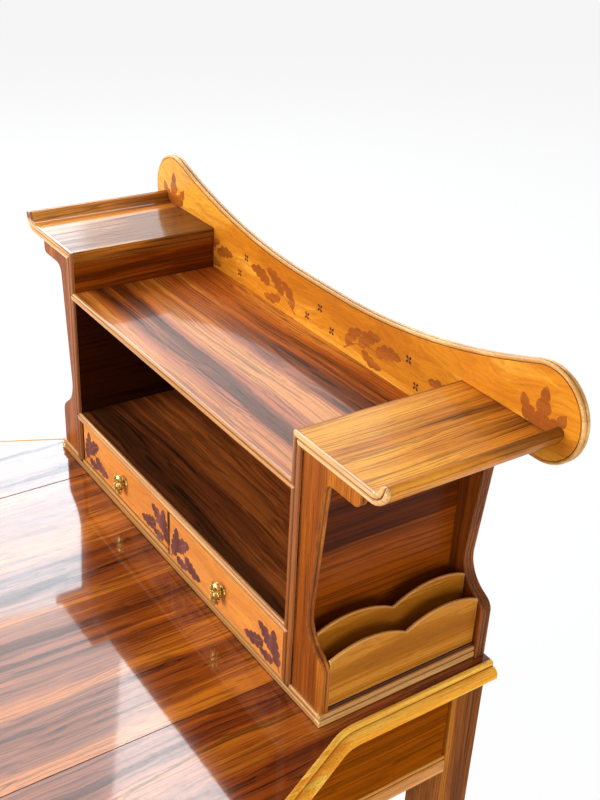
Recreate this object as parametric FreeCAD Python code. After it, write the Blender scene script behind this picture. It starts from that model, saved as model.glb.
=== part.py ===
"""Lady's writing desk with a raised gallery (bonheur du jour), in millimetres.

+Z is up, the front faces -Y, and the origin lies on the floor below the middle of the table.
The right-hand (+X) piece of each pair is drawn and the left-hand one is its mirror image.
"""
import FreeCAD
import Part
import os
from math import cos, radians, sin, tan

V = FreeCAD.Vector
os.makedirs("parts", exist_ok=True)

# ---------------------------------------------------------------- table, driving sizes
TABLE_HEIGHT = 750.0        # floor to the writing surface
TABLE_DEPTH = 650.0         # over the front edge moulding
TOP_THICK = 22.0
TOP_HALF_BACK = 389.0       # centre line to the edge of the boards, at the back
FLARE_OUT = 74.0            # how much wider each side becomes towards the front
FLARE_ANGLE = 24.9          # degrees from the side's straight part
FLARE_FROM_BACK = 237.5     # back edge to the corner where the flare begins
FLARE_START_RADIUS = 85.0
FLARE_END_RADIUS = 180.0
FRONT_CORNER_RADIUS = 60.0
MOULDING_OUT = 16.0         # edge moulding beyond the boards
MOULDING_HEIGHT = 24.0
MOULDING_FILLET = 6.0       # upper member of the moulding, out and down
MOULDING_GROOVE = 1.2

LEAF_HALF = 277.3           # sliding writing leaf, centre line to its edge
LEAF_THICK = 20.0
LEAF_DROP = 0.4             # leaf surface below the fixed boards
LEAF_GAP = 1.5              # seam between the leaf and each fixed board
TONGUE_OUT = 6.5            # tongue that carries the leaf in the boards' grooves
TONGUE_THICK = 6.0
TONGUE_PLAY = 0.4           # all round the tongue
BACK_STRIP = 20.0           # fixed strip behind the leaf
STOP_LENGTH = 40.0
STOP_THICK = 8.0
STOP_HEIGHT = 11.0
LEAF_TRAVEL = 200.0

LEG_OUTER = 387.0           # centre line to the outer face
LEG_WIDE = 65.0
LEG_DEEP = 52.0
LEG_BACK_INSET = 4.0        # back leg behind the table's back edge
LEG_FRONT_INSET = 45.0      # front leg behind the front moulding
LEG_STRAIGHT = 300.0        # below the writing surface before the taper begins
ANKLE_HEIGHT = 55.0
ANKLE_WIDE = 38.0
ANKLE_DEEP = 34.0
FOOT_SPREAD = 7.0           # the toe widens again below the ankle
LEG_CURVE = 320.0
ANKLE_CURVE = 60.0

APRON_DROP = 175.0          # writing surface to the bottom of the frieze
APRON_THICK = 18.0
APRON_INSET = 8.0           # frieze board behind the leg's outer face
PANEL_RAISE = 6.5           # raised field of the side frieze
PANEL_REVEAL = 5.0          # dark groove between the field and each leg
FRIEZE_BEAD_HEIGHT = 30.0
FRIEZE_BEAD_REVEAL = 1.5
FRIEZE_BEAD_PROUD = 1.0     # over the leg's face
FRIEZE_UPPER_BEAD = 6.0
FRIEZE_BEAD_ROUND = 4.0
RAIL_THICK = 20.0
RAIL_INSET = 2.0            # rails and frieze drawer behind the leg's front face
UPPER_RAIL_HEIGHT = 16.0
RUNNER_WIDE = 26.0
RUNNER_THICK = 12.0
GUIDE_HEIGHT = 26.0
BACK_APRON_INSET = 3.0      # behind the back leg's rear face

# ---------------------------------------------------------------- gallery, driving sizes
# Heights are taken from the writing surface, and each reach is taken outwards from the outer
# face of the box side.
GALLERY_DEPTH = 262.0
BASE_REACH = 66.3
BASE_THICK = 17.0
BASE_UPPER_BEAD = 6.6
BASE_BEAD_SETBACK = 0.8
BASE_BEAD_ROUND = 2.4
BOARD = 14.0                # box sides and wings
BOX_HALF = 294.7            # centre line to the inner face of the box side
BOX_PROUD = 1.8             # reeds of the box and wings before the front of the base
HOUSING = 8.0               # box side let into the base
LIPPING = 4.8               # reeded lipping on the front of sides, wings and shelves
WING_HEIGHT = 370.0
WING_STUB = 20.0            # height of the wing's bent end above the box side
LIP_REACH = 125.3           # to the start of the upturned end
LIP_RADIUS = 20.0           # at mid thickness
LIP_TURN = 75.0
LIP_END = 7.0
SHELF_HEIGHT = 306.0
SHELF_THICK = 11.5
SHELF_UPPER_BEAD = 4.2
SHELF_BEAD_SETBACK = 1.2
SHELF_BEAD_ROUND = 3.2
DRAWER_SHELF_HEIGHT = 102.4
DRAWER_SHELF_THICK = 12.4
DIVIDER_THICK = 7.0
BOX_BACK_THICK = 8.0
GROOVE = 0.8                # between neighbouring beads

FRONT_STANDARD_SETBACK = 4.6
FRONT_STANDARD_REEDS = (6.0, 6.0)       # widths, from the front of the board to its back
FRONT_FOOT_REACH = 62.3
FRONT_SHOULDER = 83.0
FRONT_WAIST_REACH = 20.3
FRONT_WAIST = 116.5
BACK_STANDARD_REEDS = (5.0, 5.0, 7.0)
BACK_STANDARD_STEP = 5.3    # its inner edge behind the side's inner face
BACK_FOOT_REACH = 68.7
BACK_SHOULDER = 82.5
BACK_WAIST_REACH = 22.1
BACK_WAIST = 106.5
SHOULDER_RADIUS = 20.0
WAIST_RADIUS = 50.0
NECK_LEAN = 0.1             # outward lean of the neck, per unit of height
BRACKET_DEPTH = 24.5        # bracket under the wing
BRACKET_REACH = 102.3
BRACKET_RADIUS = 15.0
BRACKET_TIP_RADIUS = 9.0
TENON_RISE = 50.0           # back standard lapped behind the panel

RACK_THICK = 4.5
RACK_INNER_REACH = 26.0     # to the inner face of each rack board
RACK_OUTER_REACH = 54.8
RACK_INNER_END = 111.0      # heights of the scalloped top: ends, crests, middle
RACK_INNER_CREST = 121.0
RACK_INNER_DIP = 104.0
RACK_OUTER_END = 90.0
RACK_OUTER_CREST = 102.0
RACK_OUTER_DIP = 86.0
CREST_FROM_END = 44.0
RACK_EDGE_RADIUS = 1.4
FILLET_HEIGHT = 4.0
FILLET_IN = 6.0             # fillet wider than the rack board, on each side
FILLET_OUT = 2.0

PANEL_STEP = 5.0            # panel's face before the face of the back standards
PANEL_THICK = 11.0
PANEL_BEAD = 5.0
PANEL_REED = 5.2            # front reed of the panel's edge, along the thickness
PANEL_GROOVE_DEEP = 2.4
LOBE_REACH = 117.3          # to the centre of the lobe
LOBE_HEIGHT = 389.5
LOBE_RADIUS = 60.0
DIP_HEIGHT = 382.0
DIP_HALF = 40.0             # half of the straight middle
PANEL_CORNER = 14.0

# ---------------------------------------------------------------- drawers, driving sizes
DRAWER_PLAY = 0.8
SMALL_FRONT_SETBACK = 4.4   # behind the front of the base, when the drawer is shut
SMALL_AJAR = 5.0            # the right-hand small drawer stands open by this much
SMALL_FRONT_THICK = 14.0
SMALL_SIDE_THICK = 8.0
SMALL_BOTTOM_THICK = 4.0
SMALL_BACK_GAP = 5.0
SMALL_TOP_GAP = 7.0         # drawer side below the top of its front
LAP = 8.0                   # drawer side let into the front
FRIEZE_FRONT_THICK = 20.0
FRIEZE_SIDE_THICK = 11.0
FRIEZE_BOTTOM_THICK = 6.0
FRIEZE_BACK_GAP = 12.0
FRIEZE_LAP = 12.0
BOTTOM_RAISE = 4.0          # drawer bottom above the lower edge of the sides
BOTTOM_GROOVE = 4.0
FRONT_EASE = 0.8            # rounding of the drawer front's edges
FRIEZE_PULL_AT = 190.0      # centre line to each pull

ROSE_RADIUS = 8.0
ROSE_THICK = 2.0
NECK_RADIUS = 3.5
BUD_HALF_WIDTH = 10.0
BUD_HALF_DEPTH = 7.0
BUD_HALF_HEIGHT = 18.0
BUD_OUT = 10.0              # drawer face to the middle of the bud
SHANK_RADIUS = 2.5

# ---------------------------------------------------------------- places shared by the pieces
SURFACE = TABLE_HEIGHT
UNDERSIDE = SURFACE - TOP_THICK
BACK = TABLE_DEPTH / 2
FRONT_EDGE = MOULDING_OUT - TABLE_DEPTH / 2
SEAM = LEAF_HALF + LEAF_GAP
GALLERY_FRONT = BACK - GALLERY_DEPTH
GALLERY_REAR = BACK - sum(BACK_STANDARD_REEDS)
BOX_FRONT = GALLERY_FRONT - BOX_PROUD
BOX_FIELD = BOX_FRONT + LIPPING
PANEL_FRONT = GALLERY_REAR - PANEL_STEP
BASE_TOP = SURFACE + BASE_THICK
BOX_OUTER = BOX_HALF + BOARD
BASE_HALF = BOX_OUTER + BASE_REACH
LIP_START = BOX_OUTER + LIP_REACH
BACK_STANDARD_INNER = BOX_HALF + BACK_STANDARD_STEP
RACK_INNER_AT = BOX_OUTER + RACK_INNER_REACH
RACK_OUTER_AT = BOX_OUTER + RACK_OUTER_REACH
LOBE_AT = BOX_OUTER + LOBE_REACH
SHELF_TOP = SURFACE + SHELF_HEIGHT
SHELF_LOW = SHELF_TOP - SHELF_THICK
DRAWER_SHELF_TOP = SURFACE + DRAWER_SHELF_HEIGHT
DRAWER_SHELF_LOW = DRAWER_SHELF_TOP - DRAWER_SHELF_THICK
WING_TOP = SURFACE + WING_HEIGHT
WING_LOW = WING_TOP - BOARD
SIDE_TOP = WING_TOP - WING_STUB
BOX_BACK_FRONT = PANEL_FRONT - BOX_BACK_THICK
STANDARD_FRONT = GALLERY_FRONT + FRONT_STANDARD_SETBACK
RACK_FRONT = STANDARD_FRONT + sum(FRONT_STANDARD_REEDS)
APRON_LOW = SURFACE - APRON_DROP
LEG_INNER = LEG_OUTER - LEG_WIDE
LEG_FRONT = LEG_FRONT_INSET - TABLE_DEPTH / 2
LEG_REAR = BACK - LEG_BACK_INSET
BACK_LEG_FRONT = LEG_REAR - LEG_DEEP
FRONT_LEG_BACK = LEG_FRONT + LEG_DEEP
APRON_FACE = LEG_OUTER - APRON_INSET
BEAD_TOP = APRON_LOW + FRIEZE_BEAD_HEIGHT
RAIL_FRONT = LEG_FRONT + RAIL_INSET
RAIL_BACK = RAIL_FRONT + RAIL_THICK
UPPER_RAIL_LOW = UNDERSIDE - UPPER_RAIL_HEIGHT
BACK_APRON_FRONT = LEG_REAR - BACK_APRON_INSET - APRON_THICK
LEAF_BACK = BACK - BACK_STRIP - LEAF_DROP
LEAF_TOP = SURFACE - LEAF_DROP
TIP_REACH = BOARD / 2       # shelf edges point into the groove between the side's reeds

PLACES = {
    "x": lambda u, v, w: V(w, u, v),
    "y": lambda u, v, w: V(u, w, v),
    "z": lambda u, v, w: V(u, v, w),
}


# ---------------------------------------------------------------- drawing helpers
def rounded_edges(corners, axis, level=0.0, closed=True):
    """Runs through corners (u, v) or (u, v, radius), with tangent arcs, across an axis."""
    place = PLACES[axis]
    flat = [V(c[0], c[1], 0) for c in corners]
    stops = []
    for i, corner in enumerate(corners):
        here = flat[i]
        at_end = not closed and i in (0, len(corners) - 1)
        if len(corner) == 2 or at_end:
            stops.append((here, None, here))
            continue
        before = (flat[i - 1] - here).normalize()
        after = (flat[(i + 1) % len(flat)] - here).normalize()
        half = before.getAngle(after) / 2
        reach = corner[2] / tan(half)
        crown = here + (before + after).normalize() * (corner[2] / sin(half) - corner[2])
        stops.append((here + before * reach, crown, here + after * reach))
    edges = []
    last = len(stops) if closed else len(stops) - 1
    for i, (start, crown, end) in enumerate(stops):
        if crown:
            arc = [place(p.x, p.y, level) for p in (start, crown, end)]
            edges.append(Part.Arc(*arc).toShape())
        if i < last:
            goal = stops[(i + 1) % len(stops)][0]
            if end.distanceToPoint(goal) > 1e-6:
                ends = [place(p.x, p.y, level) for p in (end, goal)]
                edges.append(Part.makeLine(*ends))
    return edges


def offset_run(corners, gap):
    """An open run of corners moved to its right by gap; its arcs keep their centres."""
    flat = [V(c[0], c[1], 0) for c in corners]
    moved = []
    for i, corner in enumerate(corners):
        ways = []
        if i > 0:
            ways.append((flat[i] - flat[i - 1]).normalize())
        if i < len(flat) - 1:
            ways.append((flat[i + 1] - flat[i]).normalize())
        sides = [V(way.y, -way.x, 0) for way in ways]
        bisector = sides[0] + sides[-1]
        spot = flat[i] + bisector * (2 * gap / bisector.dot(bisector))
        turn = ways[0].cross(ways[-1]).z
        radius = [corner[2] + (gap if turn > 0 else -gap)] if len(corner) > 2 else []
        moved.append((spot.x, spot.y, *radius))
    return moved


def prism(axis, corners, start, end):
    """A closed outline drawn across an axis, from start to end along it."""
    face = Part.Face(Part.Wire(rounded_edges(corners, axis, start)))
    return face.extrude(PLACES[axis](0, 0, end - start))


def block(x0, x1, y0, y1, z0, z1):
    return Part.makeBox(x1 - x0, y1 - y0, z1 - z0, V(x0, y0, z0))


def sweep(path, corners, binormal):
    """A section (outward, along binormal) carried along a flat path, mitred at its corners."""
    start = path[0].valueAt(path[0].FirstParameter)
    outward = binormal.cross(path[0].tangentAt(path[0].FirstParameter))
    section = []
    for edge in rounded_edges(corners, "z"):
        spots = [start + outward * p.x + binormal * p.y for p in edge_points(edge)]
        curve = Part.Arc(*spots).toShape() if len(spots) > 2 else Part.makeLine(*spots)
        section.append(curve)
    maker = Part.BRepOffsetAPI.MakePipeShell(Part.Wire(path))
    maker.setBiNormalMode(binormal)
    maker.setTransitionMode(1)
    maker.add(Part.Wire(section))
    maker.build()
    maker.makeSolid()
    return maker.shape()


def edge_points(edge):
    """Two points of a line, or three of an arc."""
    first = edge.FirstParameter
    last = edge.LastParameter
    steps = (first, last) if isinstance(edge.Curve, Part.Line) else (first, (first + last) / 2, last)
    return [edge.valueAt(step) for step in steps]


def mirrored(shape):
    return shape.mirror(V(0, 0, 0), V(1, 0, 0))


def save(name, *shapes):
    solids = [solid for shape in shapes for solid in shape.Solids]
    whole = solids[0] if len(solids) == 1 else Part.makeCompound(solids)
    whole.exportStep("parts/%s.step" % name)


def save_pair(name, shape):
    save(name + "_right", shape)
    save(name + "_left", mirrored(shape))


def double_bead(front, back, low, high, upper, setback, stout):
    """Section of a board edge in (depth, height): a stout bead, a groove and a slimmer bead."""
    split = high - upper
    slim = min(stout, upper * 0.49)
    valley = front + stout + GROOVE
    return [
        (back, low), (front, low, stout), (front, split - GROOVE, stout),
        (valley, split - GROOVE), (valley, split),
        (front + setback, split, slim), (front + setback, high, slim), (back, high),
    ]


def reed_cutter(reeds, start):
    """Section in (outward, depth) that leaves reeds of the given widths on a board's edge."""
    radius = (min(reeds) - GROOVE) * 0.49
    deep = radius + GROOVE / 2
    clear = 1.0
    corners = [(clear, start - clear), (-deep, start - clear), (-deep, start), (0, start, radius)]
    middle = start
    for reed in reeds[:-1]:
        middle += reed
        corners += [(0, middle - GROOVE / 2, radius), (-deep, middle - GROOVE / 2)]
        corners += [(-deep, middle + GROOVE / 2), (0, middle + GROOVE / 2, radius)]
    end = middle + reeds[-1]
    corners += [(0, end, radius), (-deep, end), (-deep, end + clear), (clear, end + clear)]
    return corners


# ---------------------------------------------------------------- table top
def top_run():
    """Right-hand edge of the boards, from the back round to the leaf."""
    wide = TOP_HALF_BACK + FLARE_OUT
    flare_start = BACK - FLARE_FROM_BACK
    flare_end = flare_start - FLARE_OUT / tan(radians(FLARE_ANGLE))
    return [
        (TOP_HALF_BACK, BACK),
        (TOP_HALF_BACK, flare_start, FLARE_START_RADIUS),
        (wide, flare_end, FLARE_END_RADIUS),
        (wide, FRONT_EDGE, FRONT_CORNER_RADIUS),
        (SEAM, FRONT_EDGE),
    ]


def tongue(front, play):
    """Both tongues of the leaf, or with play the grooves that take them."""
    middle = LEAF_TOP - LEAF_THICK / 2
    reach = LEAF_HALF + TONGUE_OUT + play
    half = TONGUE_THICK / 2 + play
    return block(-reach, reach, front, LEAF_BACK, middle - half, middle + half)


def top_board():
    board = prism("z", top_run() + [(SEAM, BACK)], UNDERSIDE, SURFACE)
    return board.cut(tongue(FRONT_EDGE, TONGUE_PLAY))


def writing_leaf():
    """The leaf, whose tongues meet the side mouldings from behind when it is right out."""
    field = block(-LEAF_HALF, LEAF_HALF, FRONT_EDGE, LEAF_BACK, LEAF_TOP - LEAF_THICK, LEAF_TOP)
    tongues = tongue(FRONT_EDGE + LEAF_TRAVEL + TONGUE_PLAY, 0)
    return field.fuse(tongues).removeSplitter()


def moulding_section(top):
    """Section in (outward, height): rounded fillet, groove and a deep rounded band."""
    step = top - MOULDING_FILLET
    neck = MOULDING_FILLET - MOULDING_GROOVE
    band = MOULDING_OUT - MOULDING_FILLET - MOULDING_GROOVE
    low = top - MOULDING_HEIGHT
    return [
        (0, top), (MOULDING_FILLET, top, MOULDING_FILLET * 0.6), (MOULDING_FILLET, step),
        (neck, step), (neck, step - MOULDING_GROOVE),
        (MOULDING_OUT, step - MOULDING_GROOVE, band), (MOULDING_OUT, low, band / 2), (0, low),
    ]


def edge_moulding_side():
    return sweep(rounded_edges(top_run(), "z", closed=False), moulding_section(SURFACE), V(0, 0, 1))


def edge_moulding_front():
    run = [(LEAF_HALF, FRONT_EDGE), (-LEAF_HALF, FRONT_EDGE)]
    return sweep(rounded_edges(run, "z", closed=False), moulding_section(LEAF_TOP), V(0, 0, 1))


def top_back_strip():
    return block(-SEAM, SEAM, BACK - BACK_STRIP, BACK, UNDERSIDE, SURFACE)


def leaf_stop():
    """Block below the leaf that meets the upper rail when the leaf is right out."""
    meets = RAIL_BACK + LEAF_TRAVEL
    low = LEAF_TOP - LEAF_THICK
    return block(-STOP_LENGTH / 2, STOP_LENGTH / 2, meets, meets + STOP_THICK, low - STOP_HEIGHT, low)


# ---------------------------------------------------------------- legs and frieze
def leg_profile(outer, inner, ankle):
    """Side view of a leg: straight outside, tapered inside, with a small toe."""
    sign = 1 if outer > inner else -1
    ankle_at = outer - sign * ankle
    return [
        (outer, 0), (outer, UNDERSIDE), (inner, UNDERSIDE),
        (inner, SURFACE - LEG_STRAIGHT, LEG_CURVE),
        (ankle_at, ANKLE_HEIGHT, ANKLE_CURVE),
        (ankle_at - sign * FOOT_SPREAD, 0),
    ]


def leg(outer_y, inner_y):
    across = prism("y", leg_profile(LEG_OUTER, LEG_INNER, ANKLE_WIDE), LEG_FRONT, LEG_REAR)
    along = prism("x", leg_profile(outer_y, inner_y, ANKLE_DEEP), LEG_INNER, LEG_OUTER)
    return across.common(along)


def side_apron():
    """Frieze board with a raised field that stops short of both legs."""
    inner = APRON_FACE - APRON_THICK
    board = block(inner, APRON_FACE, FRONT_LEG_BACK, BACK_LEG_FRONT, APRON_LOW, UNDERSIDE)
    field = block(APRON_FACE, APRON_FACE + PANEL_RAISE,
                  FRONT_LEG_BACK + PANEL_REVEAL, BACK_LEG_FRONT - PANEL_REVEAL,
                  BEAD_TOP + FRIEZE_BEAD_REVEAL, UNDERSIDE)
    return board.fuse(field).removeSplitter()


def apron_bead():
    """Beaded rail along the foot of the side frieze."""
    proud = LEG_OUTER + FRIEZE_BEAD_PROUD
    section = double_bead(-proud, -APRON_FACE, APRON_LOW, BEAD_TOP,
                          FRIEZE_UPPER_BEAD, SHELF_BEAD_SETBACK, FRIEZE_BEAD_ROUND)
    section = [(-c[0], *c[1:]) for c in section]
    return prism("y", section, FRONT_LEG_BACK, BACK_LEG_FRONT)


def back_apron():
    return block(-LEG_INNER, LEG_INNER, BACK_APRON_FRONT, BACK_APRON_FRONT + APRON_THICK,
                 APRON_LOW, UNDERSIDE)


def front_rail_upper():
    return block(-LEG_INNER, LEG_INNER, RAIL_FRONT, RAIL_BACK, UPPER_RAIL_LOW, UNDERSIDE)


def front_rail_lower():
    section = double_bead(RAIL_FRONT, RAIL_BACK, APRON_LOW, BEAD_TOP,
                          FRIEZE_UPPER_BEAD, SHELF_BEAD_SETBACK, FRIEZE_BEAD_ROUND)
    return prism("x", section, -LEG_INNER, LEG_INNER)


def drawer_runner():
    """Runner below the frieze drawer's side, with the guide that fills out to the frieze."""
    tread = block(LEG_INNER - RUNNER_WIDE, LEG_INNER, RAIL_BACK, BACK_APRON_FRONT,
                  BEAD_TOP - RUNNER_THICK, BEAD_TOP)
    guide = block(LEG_INNER, APRON_FACE - APRON_THICK, FRONT_LEG_BACK, BACK_LEG_FRONT,
                  BEAD_TOP - RUNNER_THICK, BEAD_TOP - RUNNER_THICK + GUIDE_HEIGHT)
    return tread.fuse(guide).removeSplitter()


def drawer_kicker():
    """Strip above the drawer's side that keeps it level when it is pulled out."""
    return block(LEG_INNER - RUNNER_WIDE, LEG_INNER, RAIL_BACK, BACK_APRON_FRONT,
                 UPPER_RAIL_LOW, UNDERSIDE)


# ---------------------------------------------------------------- gallery
def gallery_base():
    """Base board with mitred double beads at the front and both ends, housed for the box."""
    front = double_bead(GALLERY_FRONT, GALLERY_REAR, SURFACE, BASE_TOP,
                        BASE_UPPER_BEAD, BASE_BEAD_SETBACK, BASE_BEAD_ROUND)
    end = double_bead(-BASE_HALF, 0, SURFACE, BASE_TOP,
                      BASE_UPPER_BEAD, BASE_BEAD_SETBACK, BASE_BEAD_ROUND)
    half = prism("y", end, GALLERY_FRONT, GALLERY_REAR)
    board = prism("x", front, -BASE_HALF, BASE_HALF).common(half.fuse(mirrored(half)))
    housing = block(BOX_HALF, BOX_OUTER, GALLERY_FRONT, GALLERY_REAR, BASE_TOP - HOUSING, BASE_TOP)
    return board.cut(housing).cut(mirrored(housing)).removeSplitter()


def box_side():
    """Side of the box, housed in the base and notched at the back for the panel."""
    low = block(BOX_HALF, BOX_OUTER, BOX_FIELD, GALLERY_REAR, BASE_TOP - HOUSING, SHELF_LOW)
    high = block(BOX_HALF, BOX_OUTER, BOX_FIELD, PANEL_FRONT, SHELF_LOW, SIDE_TOP)
    heel = block(BOX_HALF, BOX_OUTER, BOX_FRONT, GALLERY_FRONT, BASE_TOP - HOUSING, BASE_TOP)
    return low.fuse(high).cut(heel).removeSplitter()


def wing_run(low):
    """Mid line of side and wing in (across, height), from a given height to the lip."""
    middle = BOX_HALF + BOARD / 2
    level = WING_TOP - BOARD / 2
    reach = LIP_RADIUS * tan(radians(LIP_TURN) / 2)
    rise = reach + LIP_END
    return [
        (middle, low),
        (middle, level),
        (LIP_START + reach, level, LIP_RADIUS),
        (LIP_START + reach + rise * cos(radians(LIP_TURN)), level + rise * sin(radians(LIP_TURN))),
    ]


def wing_outline(low, nose=True):
    """Both faces of the wing, closed by a round nose at the tip of the lip."""
    upper = offset_run(wing_run(low), -BOARD / 2)
    lower = offset_run(wing_run(low), BOARD / 2)
    if nose:
        upper[-1] = (*upper[-1], BOARD * 0.49)
        lower[-1] = (*lower[-1], BOARD * 0.49)
    return upper + lower[::-1]


def wing():
    return prism("y", wing_outline(SIDE_TOP), BOX_FIELD, PANEL_FRONT)


def shelf_tip(top, thick, reach):
    """Front view of a shelf edge whose ends come to a mitred point between the side's reeds."""
    low = top - thick
    tip = BOX_HALF + reach
    middle = low + thick / 2
    return [(-tip, middle), (-BOX_HALF, low), (BOX_HALF, low),
            (tip, middle), (BOX_HALF, top), (-BOX_HALF, top)]


def edge_reed():
    """Pair of reeds up the box side, round the corner and along the wing to its lip."""
    half = BOARD / 2
    radius = (half - GROOVE / 2) * 0.48
    valley = radius + GROOVE
    section = [
        (-half, LIPPING), (-half, 0, radius), (-GROOVE / 2, 0, radius), (-GROOVE / 2, valley),
        (GROOVE / 2, valley), (GROOVE / 2, 0, radius), (half, 0, radius), (half, LIPPING),
    ]
    path = rounded_edges(wing_run(BASE_TOP), "y", BOX_FRONT, closed=False)
    reeds = sweep(path, section, V(0, 1, 0))
    blank = prism("y", wing_outline(SIDE_TOP, nose=False), BOX_FRONT, BOX_FIELD)
    shaped = prism("y", wing_outline(SIDE_TOP), BOX_FRONT, BOX_FIELD)
    reeds = reeds.cut(blank.cut(shaped))
    for top, thick in ((SHELF_TOP, SHELF_THICK), (DRAWER_SHELF_TOP, DRAWER_SHELF_THICK)):
        reeds = reeds.cut(prism("y", shelf_tip(top, thick, TIP_REACH), BOX_FRONT, BOX_FIELD))
    return reeds


def shelf_edge(top, thick):
    section = double_bead(BOX_FRONT, BOX_FIELD, top - thick, top,
                          SHELF_UPPER_BEAD, SHELF_BEAD_SETBACK, SHELF_BEAD_ROUND)
    tip = BOX_HALF + TIP_REACH
    bar = prism("x", section, -tip, tip)
    view = prism("y", shelf_tip(top, thick, TIP_REACH), BOX_FRONT, BOX_FIELD)
    return bar.common(view)


def centre_shelf():
    return block(-BOX_HALF, BOX_HALF, BOX_FIELD, PANEL_FRONT, SHELF_LOW, SHELF_TOP)


def drawer_shelf():
    return block(-BOX_HALF, BOX_HALF, BOX_FIELD, BOX_BACK_FRONT,
                 DRAWER_SHELF_LOW, DRAWER_SHELF_TOP)


def drawer_divider():
    return block(-DIVIDER_THICK / 2, DIVIDER_THICK / 2, GALLERY_FRONT, BOX_BACK_FRONT,
                 BASE_TOP, DRAWER_SHELF_LOW)


def box_back():
    return block(-BOX_HALF, BOX_HALF, BOX_BACK_FRONT, PANEL_FRONT, BASE_TOP, SHELF_LOW)


def standard_run(foot_reach, low, shoulder, waist_reach, waist, neck_top):
    """Outer edge of a standard: upright foot, shoulder, waist and leaning neck."""
    foot = BOX_OUTER + foot_reach
    narrow = BOX_OUTER + waist_reach
    return [
        (foot, low),
        (foot, SURFACE + shoulder, SHOULDER_RADIUS),
        (narrow, SURFACE + waist, WAIST_RADIUS),
        (narrow + NECK_LEAN * (neck_top - SURFACE - waist), neck_top),
    ]


def front_standard():
    bracket_low = WING_LOW - BRACKET_DEPTH
    bracket = BOX_OUTER + BRACKET_REACH
    run = standard_run(FRONT_FOOT_REACH, BASE_TOP, FRONT_SHOULDER, FRONT_WAIST_REACH,
                       FRONT_WAIST, bracket_low)
    run[-1] = (*run[-1], BRACKET_RADIUS)
    run += [(bracket, bracket_low, BRACKET_TIP_RADIUS), (bracket, WING_LOW)]
    board = prism("y", run + [(BOX_OUTER, WING_LOW), (BOX_OUTER, BASE_TOP)],
                  STANDARD_FRONT, RACK_FRONT)
    cutter = reed_cutter(FRONT_STANDARD_REEDS, STANDARD_FRONT)
    return board.cut(sweep(rounded_edges(run, "y", closed=False), cutter, V(0, 1, 0)))


def back_run(neck_top):
    return standard_run(BACK_FOOT_REACH, SURFACE, BACK_SHOULDER, BACK_WAIST_REACH,
                        BACK_WAIST, neck_top)


def back_standard():
    """Thick rear post; above the shelf only a lap stays, behind the back panel."""
    top = SHELF_LOW + TENON_RISE
    run = back_run(top)
    board = prism("y", run + [(BACK_STANDARD_INNER, top), (BACK_STANDARD_INNER, SURFACE)],
                  GALLERY_REAR, BACK)
    cutter = reed_cutter(BACK_STANDARD_REEDS, GALLERY_REAR)
    board = board.cut(sweep(rounded_edges(run, "y", closed=False), cutter, V(0, 1, 0)))
    return board.cut(block(0, LOBE_AT, PANEL_FRONT, PANEL_FRONT + PANEL_THICK, SHELF_LOW, top))


def panel_edges(inset):
    """Edge of the back panel from its right-hand foot, round both lobes, to its left-hand foot."""
    under = SURFACE + LOBE_HEIGHT - LOBE_RADIUS
    foot = [back_run(SHELF_LOW)[-1], (*back_run(under)[-1], PANEL_CORNER), (LOBE_AT, under)]
    edges = rounded_edges(offset_run(foot, -inset), "y", PANEL_FRONT, closed=False)
    lobe = LOBE_RADIUS - inset
    rise = LOBE_HEIGHT - DIP_HEIGHT
    span = LOBE_AT - DIP_HALF
    hollow = (span ** 2 + rise ** 2 - LOBE_RADIUS ** 2) / (2 * (LOBE_RADIUS + rise))
    centre = V(LOBE_AT, PANEL_FRONT, SURFACE + LOBE_HEIGHT)
    hub = V(DIP_HALF, PANEL_FRONT, SURFACE + DIP_HEIGHT + hollow)
    bend = hollow + inset
    meet = centre + (hub - centre).normalize() * lobe
    dip = hub - V(0, 0, bend)
    half_way = hub + (meet + dip - hub * 2).normalize() * bend
    edges.append(Part.Arc(centre - V(0, 0, lobe), centre + V(lobe, 0, 0), meet).toShape())
    edges.append(Part.Arc(meet, half_way, dip).toShape())
    other = []
    for edge in reversed(edges):
        spots = [V(-p.x, p.y, p.z) for p in reversed(edge_points(edge))]
        other.append(Part.Arc(*spots).toShape() if len(spots) > 2 else Part.makeLine(*spots))
    return edges + [Part.makeLine(dip, V(-dip.x, dip.y, dip.z))] + other


def back_panel():
    edges = panel_edges(PANEL_BEAD)
    foot = edges[0].valueAt(edges[0].FirstParameter)
    edges.append(Part.makeLine(V(-foot.x, foot.y, foot.z), foot))
    return Part.Face(Part.Wire(edges)).extrude(V(0, PANEL_THICK, 0))


def back_panel_bead():
    """Edge strip of the panel: a bead against the field and a second reed behind it."""
    radius = PANEL_REED * 0.46
    slot = PANEL_BEAD - GROOVE / 2
    rear = PANEL_REED + GROOVE
    section = [
        (-PANEL_BEAD, PANEL_THICK), (-PANEL_BEAD, PANEL_GROOVE_DEEP), (-slot, PANEL_GROOVE_DEEP),
        (-slot, 0, slot * 0.46), (0, 0, slot * 0.46), (0, PANEL_REED, radius),
        (-PANEL_REED / 2, PANEL_REED), (-PANEL_REED / 2, rear),
        (0, rear, radius), (0, PANEL_THICK, radius),
    ]
    return sweep(panel_edges(0), section, V(0, 1, 0))


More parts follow.
